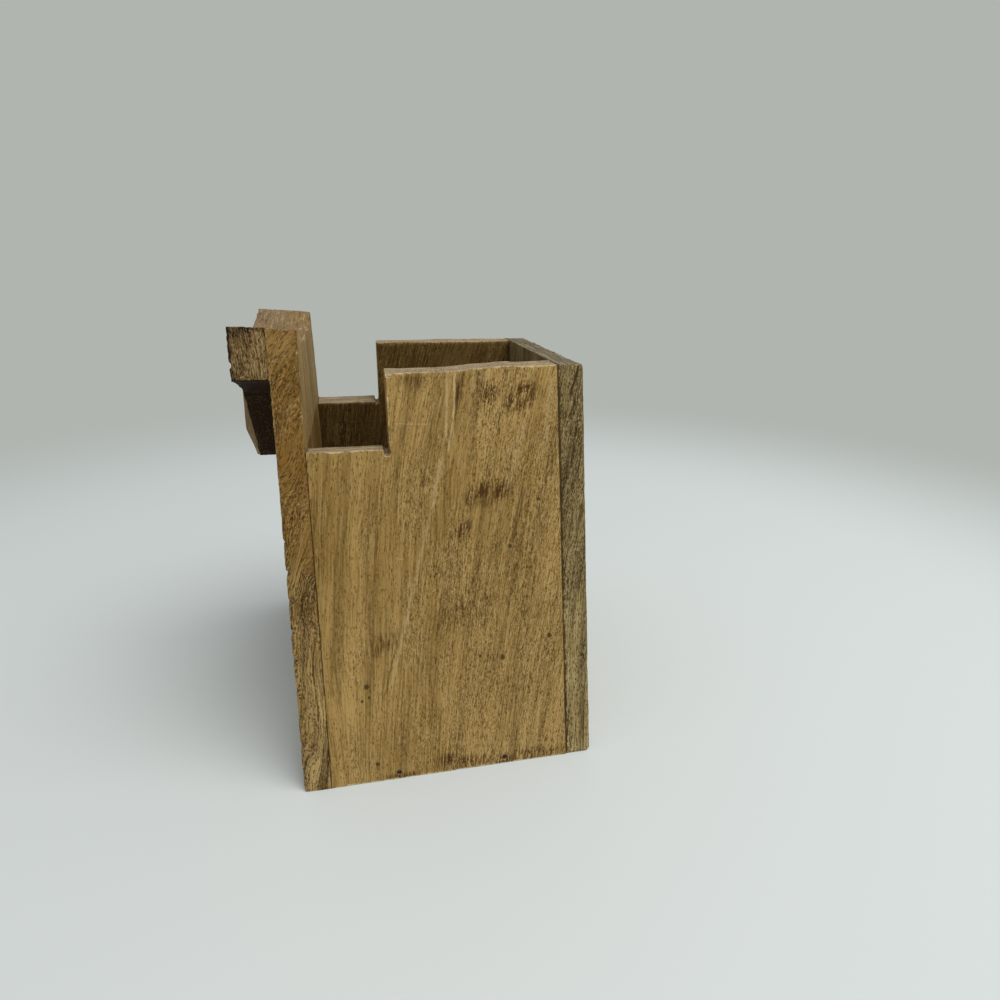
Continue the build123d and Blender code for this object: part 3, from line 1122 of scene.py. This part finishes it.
# Brow and beak: levels drawn up from the beak's tip, then a ridge pulled forward
browAndBeak = {
    **uprightWood,
    "lineDrop": 7.6 * mm,  # gouged line below the top edge
    "gougeDarkening": 1.6,
    "charStart": 1.5,  # scorched ends: full at the top and face arrises
    "charTop": 1.5,  # mm
    "charFace": 1.1,  # mm
    "endStain": 0.5,  # at the ends' lower front corner
    # painted shade under the brow: dark stain and scorch on faces that look down
    "underPaintedShade": 2.5,
    "underPaintedShadeChar": 1.2,
    "tone": 0.45,
    "cloud": 0.5,
    "lineGap": 6.0 * mm,
    "archRise": 0.8 * mm,
    "archSteps": 6,
    "shoulder": 15.0 * mm,  # half width where the beak leaves the brow
    "tipHalf": 1.5 * mm,
    "crownDrop": 11.0 * mm,
    "shoulderDrop": 15.4 * mm,
    "fullDrop": 27.0 * mm,
    "tipDrop": 34.0 * mm,
    "riseTop": 2.4 * mm,
    "rise": 2.9 * mm,
    "riseTip": 0.8 * mm,
    "voxel": 0.3 * mm,
    "softness": 0.5,
    "arrisReach": 1.2 * mm,
    "jointCalm": 1.5 * mm,
    "wave": 0.12 * mm,
    "ripple": 0.1 * mm,
    "chip": 0.4 * mm,
    "sawMarks": 0.15 * mm,
    "seed": 41.7,
    "joints": [(frontFaceY, 0, 2 * earTop)],
    "glueWidth": 0.3,
    "grainOffset": (0.0, 47.0, 0.0),
    "grain": {
        "Taper": leanRun / footHalf * mm,
        "Dive": -0.08,
        "Curl": 2.0,
        "Wander": 3.0,
        "Pore Density": 0.1,
    },
    "colors": [
        (0.36, 0.225, 0.08),
        (0.19, 0.108, 0.033),
        (0.085, 0.045, 0.012),
        # Stain, also used for the painted shade under the brow
        (0.03, 0.009, 0.001),
        (0.44, 0.33, 0.18),
        (0.055, 0.03, 0.009),
        (0.29, 0.185, 0.1),
        # Char, also used for the painted shade under the brow
        (0.024, 0.01, 0.002),
    ],
    "amounts": {
        "Line Amount": 0.45,
        "Pore Amount": 0.8,
        "Fibre Amount": 1.2,
        "Edge Fibre": 0.9,
        "Crack Amount": 0.25,
        "Wear Width": 0.2,
    },
    "bump": 0.8,
}


def browLevels(look):
    tip, full = earTop - look["tipDrop"], earTop - look["fullDrop"]
    shoulder = Vector((look["shoulder"], earTop - look["shoulderDrop"]))
    climb = (full - tip) / (shoulder.y - tip)
    fullHalf = look["tipHalf"] + climb * (look["shoulder"] - look["tipHalf"])
    levels = [(tip, look["tipHalf"]), (full, fullHalf)]
    end = Vector((halfWidth(browFoot), browFoot))
    chord = end - shoulder
    lift = Vector((-chord.y, chord.x)).normalized() * look["archRise"]
    for step in range(look["archSteps"] + 1):
        share = step / look["archSteps"]
        point = shoulder + chord * share + lift * 4 * share * (1 - share)
        levels.append((point.y, point.x))
    return levels + [(earTop, halfWidth(earTop))]


# The ridge's facets fall off to the beak's flanks and meet in a point on the brow
def ridgeRise(place, levels, look):
    stops = [
        (*levels[0], look["riseTip"]),
        (*levels[1], look["rise"]),
        (*levels[2], look["riseTop"]),
        (earTop - look["crownDrop"], 0.0, 0.0),
    ]
    for (low, lowHalf, lowRise), (high, highHalf, highRise) in zip(stops, stops[1:]):
        if low - tiny <= place.z < high:
            share = (place.z - low) / (high - low)
            half = lowHalf + (highHalf - lowHalf) * share
            return max(0.0, 1 - abs(place.x) / half) * (lowRise + (highRise - lowRise) * share)
    return 0.0


def browCarving(place, normal):
    look = browAndBeak
    line = crownHeight(place.x) - look["lineDrop"]
    inLine = min(1.0, max(0.0, (abs(place.x) - look["lineGap"]) / mm))
    if normal.y > -0.3 or not inLine:
        return Vector()
    return Vector((0, inLine * gouge(abs(place.z - line)), 0))


def browMarks(place, normal, cut):
    look, spot = browAndBeak, place / mm
    fromTop = (crownHeight(place.x) - place.z) / mm
    fromFace = (place.y - browFaceY) / mm
    # Darker the deeper the gouged line cuts
    stain, scorchAndShade = look["gougeDarkening"] * cut.y / gougeDepth, 0.0
    if abs(normal.x) > 0.4 and place.z > browFoot:
        full = look["charStart"]
        scorchAndShade = max(0.0, full - fromTop / look["charTop"], full - fromFace / look["charFace"])
        scorchAndShade *= 0.6 + 1.2 * noise.noise(spot * 0.35)
        stain = max(stain, look["endStain"] * easeIn(fromTop, 5.5, 9.0) * easeIn(fromFace, 3.0, 0.5))
    # Painted shade: faces that look down, under the brow and along the beak's flanks, get the dark stain
    # and scorch colours
    if normal.z < -0.4 and normal.y > -0.5:
        stain, scorchAndShade = look["underPaintedShade"], look["underPaintedShadeChar"]
    return stain, scorchAndShade, look["tone"] + look["cloud"] * noise.noise(spot * 0.15)


levels = browLevels(browAndBeak)
clearSelection()
tipHeight, half = levels[0]
bpy.ops.mesh.primitive_plane_add(size=1, location=(0, (browFaceY + frontFaceY) / 2, tipHeight))
board = bpy.context.object
board.name = "browAndBeak"
board.scale = (2 * half, holder["browThickness"], 1)
bpy.ops.object.transform_apply(location=True, rotation=True, scale=True)
editAll(board)
for height, nextHalf in levels[1:]:
    bpy.ops.mesh.extrude_region_move(TRANSFORM_OT_translate={"value": (0, 0, height - tipHeight)})
    bpy.ops.transform.resize(value=(nextHalf / half, 1, 1), center_override=(0, 0, 0))
    tipHeight, half = height, nextHalf
bpy.ops.mesh.select_all(action="SELECT")
bpy.ops.mesh.normals_make_consistent(inside=False)
bpy.ops.object.mode_set(mode="OBJECT")
shapeCrown(board)
for vertex in board.data.vertices:
    if vertex.co.y < browFaceY + tiny:
        vertex.co.y -= ridgeRise(vertex.co, levels, browAndBeak)
arrises = arrisTree(board)
fineMesh(board, browAndBeak)
weather(board, arrises, browAndBeak, browCarving, browMarks)
finishPiece(board, "brow_and_beak", woodMaterial("browWood", browAndBeak))

# Pins: dull darkened wire
pinSteel = {
    "bright": (0.12, 0.1, 0.085, 1),
    "rust": (0.05, 0.026, 0.014, 1),
    "spotScale": 1800.0,
    "roughness": (0.4, 0.85),
    "metal": 0.7,
}
material, shader, coords = bareMaterial("pinSteel")
spots = noiseFac(coords["Object"], pinSteel["spotScale"], 4, 0.65)
rust = ramp(spots, 0.4, 0.6)
feed(shader.inputs["Base Color"], blendColor(rust, pinSteel["bright"], pinSteel["rust"]))
feed(shader.inputs["Roughness"], ramp(spots, 0.3, 0.7, *pinSteel["roughness"]))
shader.inputs["Metallic"].default_value = pinSteel["metal"]
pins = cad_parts["base_pins"]
pins.data.materials.clear()
pins.data.materials.append(material)
print("pins finished")

# Table, backdrop and light
studio = {
    "floorReach": 3.0,
    "floorGap": 0.05 * mm,  # keeps the table's plane clear of the boards' feet
    "floor": (0.585, 0.61, 0.59, 1),
    "floorRoughness": 0.9,
    "floorGloss": 0.1,
    "wall": (0.434, 0.462, 0.43, 1),
    "fadeStart": 0.2,
    "fadeEnd": 0.42,
    "skyColor": (0.93, 0.97, 1.0, 1),
    "skyStrength": 0.6,
    "keyPlace": (0.24, 0.24, 0.72),
    "keySize": 0.6,
    "keyPower": 4.4,
}
clearSelection()
bpy.ops.mesh.primitive_circle_add(vertices=96, radius=studio["floorReach"], fill_type="NGON")
table = bpy.context.object
table.location.z = -studio["floorGap"]
table.name = "table"
material, shader, coords = bareMaterial("tableTop")
tree = material.node_tree
shader.inputs["Base Color"].default_value = studio["floor"]
shader.inputs["Roughness"].default_value = studio["floorRoughness"]
shader.inputs["Specular IOR Level"].default_value = studio["floorGloss"]
away = tree.nodes.new("ShaderNodeVectorMath")
away.operation = "LENGTH"
feed(away.inputs[0], coords["Object"])
far = tree.nodes.new("ShaderNodeEmission")
far.inputs["Color"].default_value = studio["wall"]
fade = tree.nodes.new("ShaderNodeMixShader")
feed(fade.inputs[0], ramp(away.outputs["Value"], studio["fadeStart"], studio["fadeEnd"]))
feed(fade.inputs[1], shader.outputs[0])
feed(fade.inputs[2], far.outputs[0])
feed(tree.nodes["Material Output"].inputs["Surface"], fade.outputs[0])
table.data.materials.append(material)

world = bpy.data.worlds.new("studio")
bpy.context.scene.world = world
world.use_nodes = True
tree = world.node_tree
tree.nodes.clear()
sky = tree.nodes.new("ShaderNodeBackground")
sky.inputs["Color"].default_value = studio["skyColor"]
sky.inputs["Strength"].default_value = studio["skyStrength"]
backdrop = tree.nodes.new("ShaderNodeBackground")
backdrop.inputs["Color"].default_value = studio["wall"]
path = tree.nodes.new("ShaderNodeLightPath")
seen = calc("MAXIMUM", path.outputs["Is Camera Ray"], path.outputs["Is Glossy Ray"])
seen = calc("MAXIMUM", seen, path.outputs["Is Transmission Ray"])
choose = tree.nodes.new("ShaderNodeMixShader")
feed(choose.inputs[0], seen)
feed(choose.inputs[1], sky.outputs[0])
feed(choose.inputs[2], backdrop.outputs[0])
out = tree.nodes.new("ShaderNodeOutputWorld")
feed(out.inputs["Surface"], choose.outputs[0])

clearSelection()
bpy.ops.object.light_add(type="AREA", location=studio["keyPlace"])
lamp = bpy.context.object
lamp.name = "keyLight"
lamp.data.shape = "DISK"
lamp.data.size = studio["keySize"]
lamp.data.energy = studio["keyPower"]
lamp.rotation_euler = Vector(studio["keyPlace"]).to_track_quat("Z", "Y").to_euler()
print("studio ready")

# Camera at the photograph's view
photoView = {
    "place": (172.585 * mm, -11.083 * mm, 115.624 * mm),
    "turn": 77.68,  # degrees round the holder, 0 looks at its face
    "tilt": 20.12,
    "roll": 0.52,
    "lens": 23.416,
    "sensor": 36.0,
}
turn, tilt, roll = (math.radians(photoView[name]) for name in ("turn", "tilt", "roll"))
back = Vector((math.sin(turn) * math.cos(tilt), -math.cos(turn) * math.cos(tilt), math.sin(tilt)))
level = (-back).cross(Vector((0, 0, 1))).normalized()
upright = level.cross(-back)
right = math.cos(roll) * level + math.sin(roll) * upright
up = math.cos(roll) * upright - math.sin(roll) * level
lensData = bpy.data.cameras.new("photoCamera")
lensData.sensor_width = photoView["sensor"]
lensData.lens = photoView["lens"]
lensData.clip_start = 0.01
camera = bpy.data.objects.new("photoCamera", lensData)
bpy.context.scene.collection.objects.link(camera)
facing = Matrix((right, up, back)).transposed().to_4x4()
camera.matrix_world = Matrix.Translation(photoView["place"]) @ facing
bpy.context.scene.camera = camera
bpy.context.scene.view_settings.view_transform = "Standard"
print("camera set")
